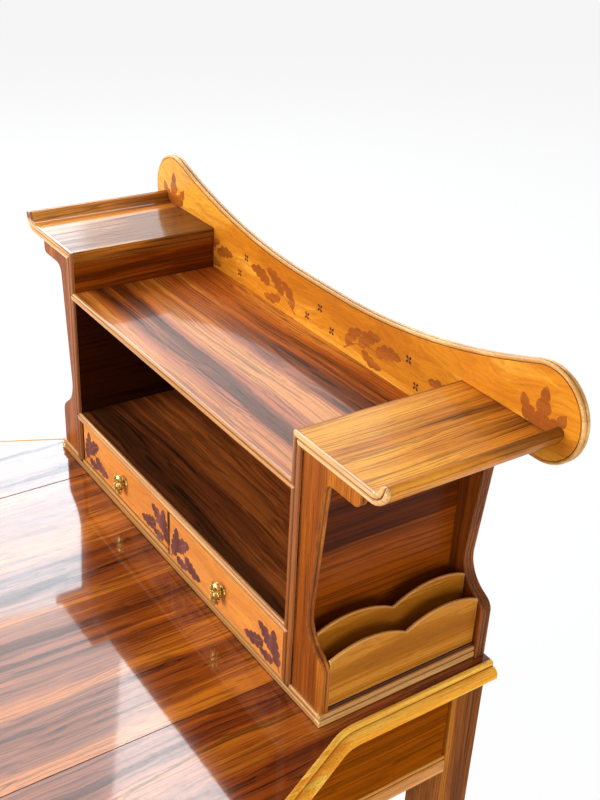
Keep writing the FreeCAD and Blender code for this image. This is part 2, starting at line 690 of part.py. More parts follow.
def rack_board(inner, low, end, crest, dip):
    """Letter rack board whose top is two arcs that meet at a cusp."""
    half_way = (RACK_FRONT + GALLERY_REAR) / 2
    near = Part.Arc(V(inner, RACK_FRONT, SURFACE + end),
                    V(inner, RACK_FRONT + CREST_FROM_END, SURFACE + crest),
                    V(inner, half_way, SURFACE + dip)).toShape()
    far = near.mirror(V(0, half_way, 0), V(0, 1, 0))
    front_end = V(inner, RACK_FRONT, SURFACE + end)
    back_end = V(inner, GALLERY_REAR, SURFACE + end)
    back_foot = V(inner, GALLERY_REAR, low)
    front_foot = V(inner, RACK_FRONT, low)
    edges = Part.sortEdges([near, far, Part.makeLine(back_end, back_foot),
                            Part.makeLine(back_foot, front_foot),
                            Part.makeLine(front_foot, front_end)])[0]
    board = Part.Face(Part.Wire(edges)).extrude(V(RACK_THICK, 0, 0))
    crests = [e for e in board.Edges if isinstance(e.Curve, Part.Circle)]
    return board.makeFillet(RACK_EDGE_RADIUS, crests)


def rack_inner():
    return rack_board(RACK_INNER_AT, BASE_TOP, RACK_INNER_END, RACK_INNER_CREST, RACK_INNER_DIP)


def rack_outer():
    return rack_board(RACK_OUTER_AT, BASE_TOP + FILLET_HEIGHT,
                      RACK_OUTER_END, RACK_OUTER_CREST, RACK_OUTER_DIP)


def rack_fillet():
    return block(RACK_OUTER_AT - FILLET_IN, RACK_OUTER_AT + RACK_THICK + FILLET_OUT,
                 RACK_FRONT, GALLERY_REAR, BASE_TOP, BASE_TOP + FILLET_HEIGHT)


# ---------------------------------------------------------------- drawers
def pull(x, face, z):
    """Cast bud on a rose, with a shank through the drawer front."""
    toward = V(0, -1, 0)
    rose = Part.makeCylinder(ROSE_RADIUS, ROSE_THICK, V(x, face, z), toward)
    neck = Part.makeCylinder(NECK_RADIUS, BUD_OUT, V(x, face, z), toward)
    stretch = FreeCAD.Matrix()
    stretch.scale(V(BUD_HALF_WIDTH, BUD_HALF_DEPTH, BUD_HALF_HEIGHT))
    bud = Part.makeSphere(1).transformGeometry(stretch)
    bud.translate(V(x, face - BUD_OUT, z))
    return rose.fuse([neck, bud])


def shank(x, face, z, length):
    return Part.makeCylinder(SHANK_RADIUS, length, V(x, face, z), V(0, 1, 0))


def drawer(x0, x1, face, rear, z0, z1, thick, side, bottom, lap, drop, pulls):
    """Front, sides, back, bottom and pulls of one drawer, lapped and grooved together."""
    middle = (z0 + z1) / 2
    front = block(x0, x1, face, face + thick, z0, z1)
    fore = [e for e in front.Edges if max(v.Y for v in e.Vertexes) < face + FRONT_EASE / 2]
    front = front.makeFillet(FRONT_EASE, fore)
    side_front = face + thick - lap
    inset = DRAWER_PLAY / 2
    sides = []
    for outer, inner in ((x0 + inset, x0 + inset + side), (x1 - inset - side, x1 - inset)):
        sides.append(block(outer, inner, side_front, rear, z0, z1 - drop))
    floor = z0 + BOTTOM_RAISE
    base = block(x0 + inset + side - BOTTOM_GROOVE, x1 - inset - side + BOTTOM_GROOVE,
                 face + thick - BOTTOM_GROOVE, rear, floor, floor + bottom)
    back = block(x0 + inset + side, x1 - inset - side, rear - side, rear,
                 floor + bottom, z1 - drop)
    knobs = []
    for x in pulls:
        stem = shank(x, face, middle, thick)
        front = front.cut(stem)
        knobs.append(pull(x, face, middle).fuse(stem))
    front = front.cut(sides[0]).cut(sides[1]).cut(base)
    sides = [board.cut(base) for board in sides]
    return {"front": [front], "sides": sides, "back": [back], "bottom": [base], "pull": knobs}


def save_drawer(name, pieces, flip=False, ajar=0.0):
    for part, shapes in pieces.items():
        set_out = [shape.translated(V(0, -ajar, 0)) for shape in shapes]
        save("%s_%s" % (name, part), *[mirrored(s) if flip else s for s in set_out])


def small_drawer():
    x0 = DIVIDER_THICK / 2 + DRAWER_PLAY
    x1 = BOX_HALF - DRAWER_PLAY
    return drawer(x0, x1, GALLERY_FRONT + SMALL_FRONT_SETBACK, BOX_BACK_FRONT - SMALL_BACK_GAP,
                  BASE_TOP + DRAWER_PLAY / 2, DRAWER_SHELF_LOW - DRAWER_PLAY,
                  SMALL_FRONT_THICK, SMALL_SIDE_THICK, SMALL_BOTTOM_THICK, LAP,
                  SMALL_TOP_GAP, [(x0 + x1) / 2])


def frieze_drawer():
    x1 = LEG_INNER - DRAWER_PLAY
    return drawer(-x1, x1, RAIL_FRONT, BACK_APRON_FRONT - FRIEZE_BACK_GAP,
                  BEAD_TOP + DRAWER_PLAY / 2, UPPER_RAIL_LOW - DRAWER_PLAY,
                  FRIEZE_FRONT_THICK, FRIEZE_SIDE_THICK, FRIEZE_BOTTOM_THICK, FRIEZE_LAP,
                  DRAWER_PLAY, [-FRIEZE_PULL_AT, FRIEZE_PULL_AT])


# ---------------------------------------------------------------- the whole desk
save_pair("top_board", top_board())
save("writing_leaf", writing_leaf())
save_pair("edge_moulding", edge_moulding_side())
save("edge_moulding_front", edge_moulding_front())
save("top_back_strip", top_back_strip())
save("leaf_stop", leaf_stop())
save_pair("front_leg", leg(LEG_FRONT, FRONT_LEG_BACK))
save_pair("back_leg", leg(LEG_REAR, BACK_LEG_FRONT))
save_pair("side_apron", side_apron())
save_pair("apron_bead", apron_bead())
save("back_apron", back_apron())
save("front_rail_upper", front_rail_upper())
save("front_rail_lower", front_rail_lower())
save("drawer_runners", drawer_runner(), mirrored(drawer_runner()))
save("drawer_kickers", drawer_kicker(), mirrored(drawer_kicker()))
save("gallery_base", gallery_base())
save_pair("box_side", box_side())
save_pair("wing", wing())
save_pair("edge_reed", edge_reed())
save("centre_shelf", centre_shelf())
save("centre_shelf_edge", shelf_edge(SHELF_TOP, SHELF_THICK))
save("drawer_shelf", drawer_shelf())
save("drawer_shelf_edge", shelf_edge(DRAWER_SHELF_TOP, DRAWER_SHELF_THICK))
save("drawer_divider", drawer_divider())
save("box_back", box_back())
save_pair("front_standard", front_standard())
save_pair("back_standard", back_standard())
save("back_panel", back_panel())
save("back_panel_bead", back_panel_bead())
save_pair("rack_inner", rack_inner())
save_pair("rack_outer", rack_outer())
save("rack_fillets", rack_fillet(), mirrored(rack_fillet()))
save_drawer("small_drawer_right", small_drawer(), ajar=SMALL_AJAR)
save_drawer("small_drawer_left", small_drawer(), flip=True)
save_drawer("frieze_drawer", frieze_drawer())
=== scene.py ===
"""Lady's writing desk with a raised gallery (bonheur du jour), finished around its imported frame."""
from math import cos, radians, sin

import bpy
import numpy as np
from mathutils import Matrix, Vector


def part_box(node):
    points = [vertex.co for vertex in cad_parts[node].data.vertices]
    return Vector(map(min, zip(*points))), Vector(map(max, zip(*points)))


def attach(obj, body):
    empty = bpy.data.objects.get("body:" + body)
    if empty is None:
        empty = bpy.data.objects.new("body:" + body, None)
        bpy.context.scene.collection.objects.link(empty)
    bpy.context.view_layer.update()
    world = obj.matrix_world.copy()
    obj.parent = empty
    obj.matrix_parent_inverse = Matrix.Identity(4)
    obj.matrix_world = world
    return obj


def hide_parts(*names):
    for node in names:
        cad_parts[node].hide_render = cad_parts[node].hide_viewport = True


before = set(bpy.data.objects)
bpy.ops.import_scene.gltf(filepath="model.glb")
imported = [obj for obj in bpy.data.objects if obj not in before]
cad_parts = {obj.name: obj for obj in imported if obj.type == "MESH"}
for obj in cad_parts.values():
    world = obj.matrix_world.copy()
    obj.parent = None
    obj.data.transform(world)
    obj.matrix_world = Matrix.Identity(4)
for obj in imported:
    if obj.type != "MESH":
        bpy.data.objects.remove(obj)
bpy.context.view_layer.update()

# ------------------------------------------------------------------------------- view and studio
# The desk stands on a plain pale floor and is seen from above its right-hand end, with the eye
# at standing height. A large soft window with two brighter panes lights it from the left.
EYE_AT = (1.1552, -0.5375, 1.7253)
PITCH, ROLL, YAW = radians(28.4388), radians(2.8695), radians(54.8166)
LONG_SIDE = 800             # pixels along the frame's long side
FOCUS = 1120.142            # focal length in the same pixels
SENSOR = 36.0
FLOOR_GREY = 0.85

ahead = Vector((-sin(YAW) * cos(PITCH), cos(YAW) * cos(PITCH), -sin(PITCH)))
level = Vector((cos(YAW), sin(YAW), 0.0))
rise = level.cross(ahead)
right = level * cos(ROLL) + rise * sin(ROLL)
up = rise * cos(ROLL) - level * sin(ROLL)
lens = bpy.data.cameras.new("eye")
lens.sensor_width = SENSOR
lens.lens = SENSOR * FOCUS / LONG_SIDE
eye = bpy.data.objects.new("eye", lens)
turned_to = Matrix((right, up, -ahead)).transposed().to_4x4()
eye.matrix_world = Matrix.Translation(EYE_AT) @ turned_to
scene = bpy.context.scene
scene.collection.objects.link(eye)
scene.camera = eye
scene.view_settings.view_transform = "Standard"


def node(tree, kind, sockets=None, **settings):
    """Adds a shader node; each socket takes a constant or the output of another node."""
    made = tree.nodes.new("ShaderNode" + kind)
    for key, value in settings.items():
        setattr(made, key, value)
    for key, value in (sockets or {}).items():
        if isinstance(value, bpy.types.NodeSocket):
            tree.links.new(value, made.inputs[key])
        else:
            made.inputs[key].default_value = value
    return made


def reckon(tree, operation, *values):
    """One step of arithmetic on constants or outputs."""
    return node(tree, "Math", dict(enumerate(values)), operation=operation).outputs[0]


def seen_directly(tree):
    """1 for camera, glossy and transmission rays, which see the pale studio as white."""
    path = node(tree, "LightPath").outputs
    mirror = reckon(tree, "MAXIMUM", path["Is Glossy Ray"], path["Is Transmission Ray"])
    return reckon(tree, "MAXIMUM", path["Is Camera Ray"], mirror)


def studio_world(fill):
    """A white surround that gives only a fill level of light."""
    world = bpy.data.worlds.new("studio")
    world.use_nodes = True
    tree = world.node_tree
    tree.nodes.clear()
    soft = node(tree, "Background", {"Color": (fill, fill, fill, 1.0)})
    white = node(tree, "Background", {"Color": (1.0, 1.0, 1.0, 1.0)})
    both = node(tree, "MixShader", {0: seen_directly(tree), 1: soft.outputs[0],
                                    2: white.outputs[0]})
    node(tree, "OutputWorld", {"Surface": both.outputs[0]})
    scene.world = world


def soft_lamp(name, place, aim, size, watts, tint=(1.0, 1.0, 1.0)):
    """A rectangular soft box that the eye doesn't see."""
    lamp = bpy.data.lights.new(name, "AREA")
    lamp.shape = "RECTANGLE"
    lamp.size, lamp.size_y = size
    lamp.energy = watts
    lamp.color = tint
    held = bpy.data.objects.new(name, lamp)
    aimed = (Vector(aim) - Vector(place)).to_track_quat("-Z", "Y").to_matrix().to_4x4()
    held.matrix_world = Matrix.Translation(place) @ aimed
    held.visible_camera = False
    scene.collection.objects.link(held)


def pale_floor(half, lift):
    """Floor whose own white is lifted for the eye, so that the desk's shadow stays on it."""
    mesh = bpy.data.meshes.new("floor")
    mesh.from_pydata([(-half, -half, 0), (half, -half, 0), (half, half, 0), (-half, half, 0)],
                     [], [(0, 1, 2, 3)])
    floor = bpy.data.objects.new("floor", mesh)
    scene.collection.objects.link(floor)
    paint = bpy.data.materials.new("floor_paint")
    paint.use_nodes = True
    tree = paint.node_tree
    tree.nodes.clear()
    grey = (FLOOR_GREY, FLOOR_GREY, FLOOR_GREY, 1.0)
    matt = node(tree, "BsdfPrincipled", {"Base Color": grey, "Roughness": 0.9})
    white = node(tree, "Emission", {"Color": (1.0, 1.0, 1.0, 1.0)})
    share = reckon(tree, "MULTIPLY", seen_directly(tree), lift)
    both = node(tree, "MixShader", {0: share, 1: matt.outputs[0], 2: white.outputs[0]})
    node(tree, "OutputMaterial", {"Surface": both.outputs[0]})
    mesh.materials.append(paint)


studio_world(fill=0.45)
soft_lamp("window_lamp", (-3.8, 1.3, 3.9), (-0.1, 0.0, 0.8), (4.0, 3.6), 165.0,
          tint=(0.95, 0.98, 1.0))
soft_lamp("low_pane", (-3.6, 0.7, 2.9), (-0.2, 0.0, 0.8), (1.6, 1.3), 31.0,
          tint=(0.6, 0.86, 1.0))
soft_lamp("high_pane", (-3.5, 2.3, 5.5), (0.3, -0.1, 0.8), (1.5, 1.4), 40.0)
soft_lamp("front_lamp", (-0.9, -3.0, 2.0), (0.0, 0.0, 0.8), (2.4, 1.6), 115.0)
soft_lamp("side_lamp", (3.2, -0.6, 1.6), (0.3, 0.0, 0.8), (1.6, 1.2), 38.0)
pale_floor(half=9.0, lift=0.86)

# ------------------------------------------------------------------------------- fixed top boards
# Two boards of rosewood, streaked dark and orange, run front to back on each side of the leaf.
# They are French polished, with open pores, and with a little dirt and painted shade where the pieces
# meet.

# The turn of the pattern that lays its streaks along each axis.
TURNS = {"x": (0.0, 0.0, 0.0), "y": (0.0, 0.0, radians(-90)), "z": (0.0, radians(90), 0.0)}

# Noises of the timber: features per metre along the grain and across it.
DRIFT = (1.6, 4.0, 4.0)
SHAKE = (14.0, 40.0, 40.0)
PORES = (110.0, 1500.0, 1500.0)
SHAKE_SHARE = (0.0, 0.12, 0.12)         # of the shake beside the drift, along and across
NOISE_MIDDLE = (0.5, 0.5, 0.5)

# Between these values of its noise each feature comes in, or goes out.
PALE_WOOD = (0.49, 0.59)
DARK_WOOD = (0.39, 0.49)
THREADS = (0.54, 0.62)
SOFT_GRAIN = (0.46, 0.60)
RINGS = (0.004, 0.02)
RING_BREAKS = (0.35, 0.60)
PORE_DASHES = (0.60, 0.72)
# Edges turn pale from wear and a painted highlight between these values.
WEAR_AND_HIGHLIGHT_BEND = (0.86, 0.998)               # cosine between the rounded and the flat normal
CLOSED_IN = (0.30, 0.80)

THREADS_IN_PALE = 0.3                   # how strongly each feature is drawn
RING_DEPTH, SOFT_DEPTH, PORE_DEPTH = 0.7, 0.3, 0.35
POLISH_LOST = 0.48                      # in the dark wood and along its lines
# Reach of the closed-in mask, which darkens spots as dirt and painted shade.
DIRT_AND_SHADE_REACH = 0.003
PORE_DULL, DIRT_DULL = 0.25, 0.3        # roughness that open pores and dirt add
CLOUDS, CLOUD_HEIGHT = 300.0, 0.5       # unevenness of the polish, beside the pores' depth
BUMP_DEPTH = 0.0003


def tone(code):
    """Linear colour of an sRGB code such as 8a4a22."""
    parts = np.array([int(code[i:i + 2], 16) / 255 for i in (0, 2, 4)])
    flat = np.where(parts <= 0.04045, parts / 12.92, ((parts + 0.055) / 1.055) ** 2.4)
    return (*flat.tolist(), 1.0)


def new_group(name, takes, gives):
    """An empty node group with named sockets, as (tree, its inputs, its results)."""
    tree = bpy.data.node_groups.new(name, "ShaderNodeTree")
    for label, kind in takes:
        tree.interface.new_socket(label, in_out="INPUT", socket_type="NodeSocket" + kind)
    for label, kind in gives:
        tree.interface.new_socket(label, in_out="OUTPUT", socket_type="NodeSocket" + kind)
    return tree, tree.nodes.new("NodeGroupInput").outputs, tree.nodes.new("NodeGroupOutput").inputs


def smooth(tree, value, low, high):
    """0 below low and 1 above high, with a soft step between them."""
    return node(tree, "MapRange", {"Value": value, "From Min": low, "From Max": high},
                interpolation_type="SMOOTHSTEP").outputs[0]


def mixed(tree, share, first, second):
    """First colour, turning into the second as share goes from 0 to 1."""
    return node(tree, "Mix", {0: share, 6: first, 7: second}, data_type="RGBA").outputs[2]


def between(tree, share, first, second):
    """First value, turning into the second as share goes from 0 to 1."""
    return node(tree, "Mix", {0: share, 2: first, 3: second}).outputs[0]


def moved(tree, operation, first, second):
    """One step of arithmetic on two vectors."""
    return node(tree, "VectorMath", {0: first, 1: second}, operation=operation).outputs[0]


def streaked_timber():
    """Long streaks along local X, from noises that are stretched along the grain.

    A slow drift and a small quick shake bend all of them. A broad noise chooses between pale,
    middle and dark wood, and a finer one frays the borders. Thin lines follow where a long
    noise passes through one half, and others gather in the dark wood. Pores are short dashes.
    Filled is how well polish fills the grain, which is less in the dark wood and the lines.
    """
    tree, given, result = new_group(
        "streaked_timber",
        [("Vector", "Vector"), ("Pale", "Color"), ("Middle", "Color"), ("Dark", "Color"),
         ("Line", "Color"), ("Streak Width", "Float"), ("Wander", "Float"), ("Lean", "Float"),
         ("Darkness", "Float"), ("Lines", "Float"), ("Fray", "Float")],
        [("Color", "Color"), ("Pores", "Float"), ("Filled", "Float")])

    def noise(spot, detail, roughness=0.5):
        """A noise at a place that is already scaled."""
        return node(tree, "TexNoise", {"Vector": spot, "Scale": 1.0, "Detail": detail,
                                       "Roughness": roughness}).outputs

    def sway(scale, detail):
        """A push to any side, nought on average."""
        spot = moved(tree, "MULTIPLY", given["Vector"], scale)
        return moved(tree, "SUBTRACT", noise(spot, detail)["Color"], NOISE_MIDDLE)

    reach = node(tree, "CombineXYZ", {1: given["Wander"], 2: given["Wander"]}).outputs[0]
    shake = moved(tree, "MULTIPLY", sway(SHAKE, 1.0), SHAKE_SHARE)
    bends = moved(tree, "MULTIPLY", moved(tree, "ADD", sway(DRIFT, 2.0), shake), reach)
    bent = moved(tree, "ADD", given["Vector"], bends)

    def stretched(lengthwise, crosswise, detail, roughness=0.5):
        """A noise drawn out along the grain; crosswise counts features per streak's width."""
        across = reckon(tree, "DIVIDE", crosswise, given["Streak Width"])
        scale = node(tree, "CombineXYZ", {0: lengthwise, 1: across, 2: across}).outputs[0]
        return noise(moved(tree, "MULTIPLY", bent, scale), detail, roughness)["Fac"]

    broad = stretched(lengthwise=0.8, crosswise=1.0, detail=2.0)
    broad = reckon(tree, "ADD", broad, given["Lean"])
    medium = stretched(lengthwise=1.6, crosswise=5.0, detail=4.0, roughness=0.65)
    fine = stretched(lengthwise=3.5, crosswise=22.0, detail=2.0)
    growth = stretched(lengthwise=0.5, crosswise=4.0, detail=1.5)
    growth = reckon(tree, "ABSOLUTE", reckon(tree, "SUBTRACT", growth, 0.5))
    frayed = between(tree, given["Fray"], broad, medium)
    pale = smooth(tree, frayed, *PALE_WOOD)
    dark = reckon(tree, "SUBTRACT", 1.0, smooth(tree, frayed, *DARK_WOOD))
    dark = reckon(tree, "MULTIPLY", dark, given["Darkness"])
    threads = reckon(tree, "MULTIPLY_ADD", dark, 1.0 - THREADS_IN_PALE, THREADS_IN_PALE)
    threads = reckon(tree, "MULTIPLY", threads, smooth(tree, fine, *THREADS))
    rings = reckon(tree, "SUBTRACT", 1.0, smooth(tree, growth, *RINGS))
    rings = reckon(tree, "MULTIPLY", rings, smooth(tree, medium, *RING_BREAKS))
    drawn = reckon(tree, "MAXIMUM", threads, reckon(tree, "MULTIPLY", rings, RING_DEPTH))
    drawn = reckon(tree, "MULTIPLY", drawn, given["Lines"])
    colour = mixed(tree, pale, given["Middle"], given["Pale"])
    colour = mixed(tree, dark, colour, given["Dark"])
    soft = reckon(tree, "MULTIPLY", smooth(tree, fine, *SOFT_GRAIN), SOFT_DEPTH)
    colour = mixed(tree, soft, colour, given["Dark"])
    colour = mixed(tree, drawn, colour, given["Line"])
    dashes = noise(moved(tree, "MULTIPLY", given["Vector"], PORES), 1.0)["Fac"]
    pores = smooth(tree, dashes, *PORE_DASHES)
    colour = mixed(tree, reckon(tree, "MULTIPLY", pores, PORE_DEPTH), colour, given["Line"])
    filled = reckon(tree, "MULTIPLY_ADD", reckon(tree, "MAXIMUM", dark, drawn), -POLISH_LOST, 1.0)
    for label, value in (("Color", colour), ("Pores", pores), ("Filled", filled)):
        tree.links.new(value, result[label])
    return tree


def handled_edges():
    """Edges rounded, rubbed by use and lit by a painted highlight, with dirt and painted shade close
    to other pieces.

    The rounded normal bends away from the flat one only near an edge, which is where the
    finish is worn and the highlight painted; the dirt and painted shade follow how closed in a
    spot is within the given reach.
    """
    tree, given, result = new_group(
        "handled_edges", [("Radius", "Float"), ("Reach", "Float")],
        [("Normal", "Vector"), ("Worn And Highlit", "Float"), ("Dirt And Shade", "Float")])
    rounded = node(tree, "Bevel", {"Radius": given["Radius"]}, samples=4).outputs[0]
    flat = node(tree, "NewGeometry").outputs["Normal"]
    bend = node(tree, "VectorMath", {0: rounded, 1: flat}, operation="DOT_PRODUCT").outputs["Value"]
    worn_and_highlit = reckon(tree, "SUBTRACT", 1.0, smooth(tree, bend, *WEAR_AND_HIGHLIGHT_BEND))
    open_air = node(tree, "AmbientOcclusion", {"Distance": given["Reach"]}, samples=6).outputs["AO"]
    dirt_and_shade = reckon(tree, "SUBTRACT", 1.0, smooth(tree, open_air, *CLOSED_IN))
    for label, value in (("Normal", rounded), ("Worn And Highlit", worn_and_highlit), ("Dirt And Shade", dirt_and_shade)):
        tree.links.new(value, result[label])
    return tree


FIGURE = streaked_timber()
EDGES = handled_edges()


def timber(name, grain, shift, tones, width, wander=0.03, lean=0.0, darkness=0.8, lines=0.7,
           dullness=0.3, coat=0.0, coat_rough=0.12, radius=0.0008, wear_and_highlight=0.45, grime_and_shade=0.7, shine=0.3,
           fray=0.4, rubbed_and_highlight=None):
    """A polished timber: grain is the axis that its streaks follow, shift picks the cut.

    tones are its pale, middle, dark and line colours, and rubbed is the colour that rubbing and a
    painted highlight give its edges, pale unless given. grime is how far spots that other pieces
    close in darken, as dirt and painted shade. dullness is the roughness of clean wood, and shine
    how strongly it mirrors where no coat of polish lies on it. grain, lean and coat may be
    functions that draw their value from the piece's own place; lean leads the figure to pale or dark.
    """
    material = bpy.data.materials.new(name)
    material.use_nodes = True
    tree = material.node_tree
    shader = tree.nodes["Principled BSDF"]
    pale, middle, dark, line = [tone(code) for code in tones.split()]
    place = node(tree, "TexCoord").outputs["Object"]
    along, turn = (grain(tree, place), TURNS["x"]) if callable(grain) else (place, TURNS[grain])
    turned = node(tree, "Mapping", {"Vector": along, "Location": shift, "Rotation": turn})
    led = lean(tree, place) if callable(lean) else lean
    figure = node(tree, "Group", {
        "Vector": turned.outputs[0], "Pale": pale, "Middle": middle, "Dark": dark, "Line": line,
        "Streak Width": width, "Wander": wander, "Lean": led, "Darkness": darkness,
        "Lines": lines, "Fray": fray}, node_tree=FIGURE).outputs
    edges = node(tree, "Group", {"Radius": radius, "Reach": DIRT_AND_SHADE_REACH}, node_tree=EDGES).outputs
    # Wear and painted highlight: edges are lightened towards the rubbed colour, which is pale unless
    # given.
    colour = mixed(tree, reckon(tree, "MULTIPLY", edges["Worn And Highlit"], wear_and_highlight), figure["Color"],
                   tone(rubbed_and_highlight) if rubbed_and_highlight else pale)
    # Dirt and painted shade: spots that other pieces close in are darkened towards the line colour.
    colour = mixed(tree, reckon(tree, "MULTIPLY", edges["Dirt And Shade"], grime_and_shade), colour, line)
    tree.links.new(colour, shader.inputs["Base Color"])
    rough = reckon(tree, "MULTIPLY_ADD", figure["Pores"], PORE_DULL, dullness)
    rough = reckon(tree, "MULTIPLY_ADD", edges["Dirt And Shade"], DIRT_DULL, rough)
    tree.links.new(rough, shader.inputs["Roughness"])
    cloud = node(tree, "TexNoise", {"Vector": place, "Scale": CLOUDS, "Detail": 2.0}).outputs["Fac"]
    cloud = reckon(tree, "MULTIPLY", cloud, CLOUD_HEIGHT)
    bump = node(tree, "Bump", {"Strength": 0.25, "Distance": BUMP_DEPTH, "Normal": edges["Normal"],
                               "Height": reckon(tree, "SUBTRACT", cloud, figure["Pores"])})
    tree.links.new(bump.outputs[0], shader.inputs["Normal"])
    shader.inputs["Specular IOR Level"].default_value = shine
    if coat:
        polish = coat(tree, place) if callable(coat) else coat
        polish = reckon(tree, "MULTIPLY", figure["Filled"], polish)
        tree.links.new(polish, shader.inputs["Coat Weight"])
        shader.inputs["Coat Roughness"].default_value = coat_rough
    return material


def dress(material, *names):
    """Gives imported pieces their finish."""
    for name in names:
        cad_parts[name].material_slots[0].material = material


mirror_polish = {"width": 0.06, "lines": 0.9, "dullness": 0.12, "coat": 0.85, "coat_rough": 0.04,
                 "shine": 0.2}
board_rosewood = timber("board_rosewood", "y", (0.31, 0.12, 0.4), "bc681a 8e4012 421a0e 1a0a08",
                        wander=0.05, **mirror_polish)
dress(board_rosewood, "top_board_right", "top_board_left")

# ------------------------------------------------------------------------------- writing leaf
# The sliding middle of the top is cut from another log, so its figure breaks at both seams:
# an orange strip of sapwood lies along the right-hand one. Its tongues run in grooves of the
# fixed boards.
SEAM_STRIP = (0.235, 0.262)             # in X, where the strip comes in


def axis(tree, place, name):
    """One coordinate of a place."""
    return node(tree, "SeparateXYZ", {0: place}).outputs[name]


def orange_strip(tree, place):
    """Leads the figure towards pale close to the leaf's right-hand edge."""
    strip = smooth(tree, axis(tree, place, "X"), *SEAM_STRIP)
    return reckon(tree, "MULTIPLY", strip, 0.16)


leaf_rosewood = timber("leaf_rosewood", "y", (0.9, -0.35, 0.1), "cc741e 964814 4e2210 200e0a",
                       wander=0.06, lean=orange_strip, **mirror_polish)
dress(leaf_rosewood, "writing_leaf")

# ------------------------------------------------------------------------------- edge moulding
# Golden maple moulding, bent along the flared sides and run straight across the leaf's front.
# It is glued to the edges of the boards, and the leaf carries its own length of it.
# Its pale edges are wear and a painted highlight.
moulding_maple = timber("moulding_maple", "y", (0.2, 0.5, 0.2), "ffcc58 f8a636 c87418 74400c",
                        width=0.03, darkness=0.25, lines=0.3, shine=0.0, radius=0.0014,
                        rubbed_and_highlight="ffe098")
dress(moulding_maple, "edge_moulding_right", "edge_moulding_left", "edge_moulding_front")

# ------------------------------------------------------------------------------- legs
# Four walnut legs with upright grain, straight outside and tapered inside to a small toe.
# The top rests on them, and the boards of the frieze are tenoned into them.
leg_walnut = timber("leg_walnut", "z", (0.4, 0.3, 0.6), "b86c1c 904e12 54290a 281206",
                    width=0.04, darkness=0.6, shine=0.03)
dress(leg_walnut, "front_leg_right", "front_leg_left", "back_leg_right", "back_leg_left")

# ------------------------------------------------------------------------------- frieze
# Rosewood side panels stand between the legs, over a beaded rail of walnut. Plain walnut
# rails close the front above and below the drawer, and a walnut board closes the back.
apron_rosewood = timber("apron_rosewood", "y", (0.15, 0.7, 0.3), "c06e0e 964a08 5c2a04 2a1402",
                        width=0.06, darkness=0.6, shine=0.0)
dress(apron_rosewood, "side_apron_right", "side_apron_left")
bead_walnut = timber("bead_walnut", "y", (0.6, 0.2, 0.1), "e89c3c d08428 8a501c 40200c",
                     width=0.02, darkness=0.4)
dress(bead_walnut, "apron_bead_right", "apron_bead_left")
rail_walnut = timber("rail_walnut", "x", (0.1, 0.4, 0.8), "c07a38 9a5622 5e3218 2e170e",
                     width=0.03, darkness=0.5, shine=0.35)
dress(rail_walnut, "front_rail_upper", "front_rail_lower", "back_apron", "top_back_strip")

# ------------------------------------------------------------------------------- gallery base
# Walnut board with a mitred double bead at the front and both ends, glued to the table.
# Painted light makes its right-hand end bead paler.
MITRE = 0.366                           # beyond this the end beads run front to back
bead_finish = {"lines": 0.3, "dullness": 0.22, "coat": 0.4, "radius": 0.0014}


def round_the_mitre(tree, place):
    """The piece's place, with Y as the way along the grain on both end beads."""
    x, y, z = node(tree, "SeparateXYZ", {0: place}).outputs
    turned = node(tree, "CombineXYZ", {0: y, 1: x, 2: z}).outputs[0]
    end = reckon(tree, "GREATER_THAN", reckon(tree, "ABSOLUTE", x), MITRE)
    return node(tree, "Mix", {0: end, 4: place, 5: turned}, data_type="VECTOR").outputs[1]


def painted_light_end(tree, place):
    """Leads the figure towards pale on the right-hand end bead, as painted light."""
    end = reckon(tree, "GREATER_THAN", axis(tree, place, "X"), MITRE)
    return between(tree, end, -0.05, 0.12)


# Its bead edges are pale from wear and a painted highlight.
base_walnut = timber("base_walnut", round_the_mitre, (0.7, 0.1, 0.5),
                     "ffd488 c88a44 885a2a 40260f", width=0.04, wander=0.02, lean=painted_light_end,
                     darkness=0.4, wear_and_highlight=0.8, grime_and_shade=0.5, shine=0.2, rubbed_and_highlight="fadcb0", **bead_finish)
dress(base_walnut, "gallery_base")

# ------------------------------------------------------------------------------- box and wings
# The sides rise from the base and turn out into the wings, in one run of rosewood whose
# streaks follow the depth. The wings are orange with brown bands, the right-hand one worn.
MID_SHELF = 1.05                        # a height within the centre shelf's thickness
ARRIS = (0.295, 0.300)                  # from the wing's inner face to where its top begins
BEHIND = (0.12, 0.28)                   # in Y, where the wing's front part passes into its rear


def on_the_right(tree, place):
    """1 on the right-hand half of the desk and 0 on the left-hand one."""
    return reckon(tree, "GREATER_THAN", axis(tree, place, "X"), 0.0)


def painted_shade_left(tree, place):
    """Leads the left-hand side's figure to dark in the compartment below the centre shelf, as painted
    shade.
    """
    below = reckon(tree, "LESS_THAN", axis(tree, place, "Z"), MID_SHELF)
    left_hand = reckon(tree, "SUBTRACT", 1.0, on_the_right(tree, place))
    return reckon(tree, "MULTIPLY", reckon(tree, "MULTIPLY", left_hand, below), -0.25)


side_rosewood = timber("side_rosewood", "y", (0.55, 0.25, 0.9), "94460a 5e2604 280f02 100601",
                       width=0.07, lean=painted_shade_left, darkness=0.85, shine=0.06, fray=0.3)
dress(side_rosewood, "box_side_right", "box_side_left")


def dark_behind(tree, place):
    """Leads the wings' figure to orange in front, and to dark behind and on the left.

    The inner face is darker than the top, most of all on the right: partly the dark wood of the side
    below it, partly painted shade where the arris rolls over from the top.
    """
    right_hand = on_the_right(tree, place)
    flat = smooth(tree, reckon(tree, "ABSOLUTE", axis(tree, place, "X")), *ARRIS)
    rear = between(tree, smooth(tree, axis(tree, place, "Y"), *BEHIND), -0.04, -0.13)
    top = reckon(tree, "ADD", rear, between(tree, right_hand, 0.0, 0.15))
    # Painted shade on the inner face, besides the dark wood of the side.
    inner = reckon(tree, "ADD", top, between(tree, right_hand, -0.05, -0.15))
    return between(tree, flat, inner, top)


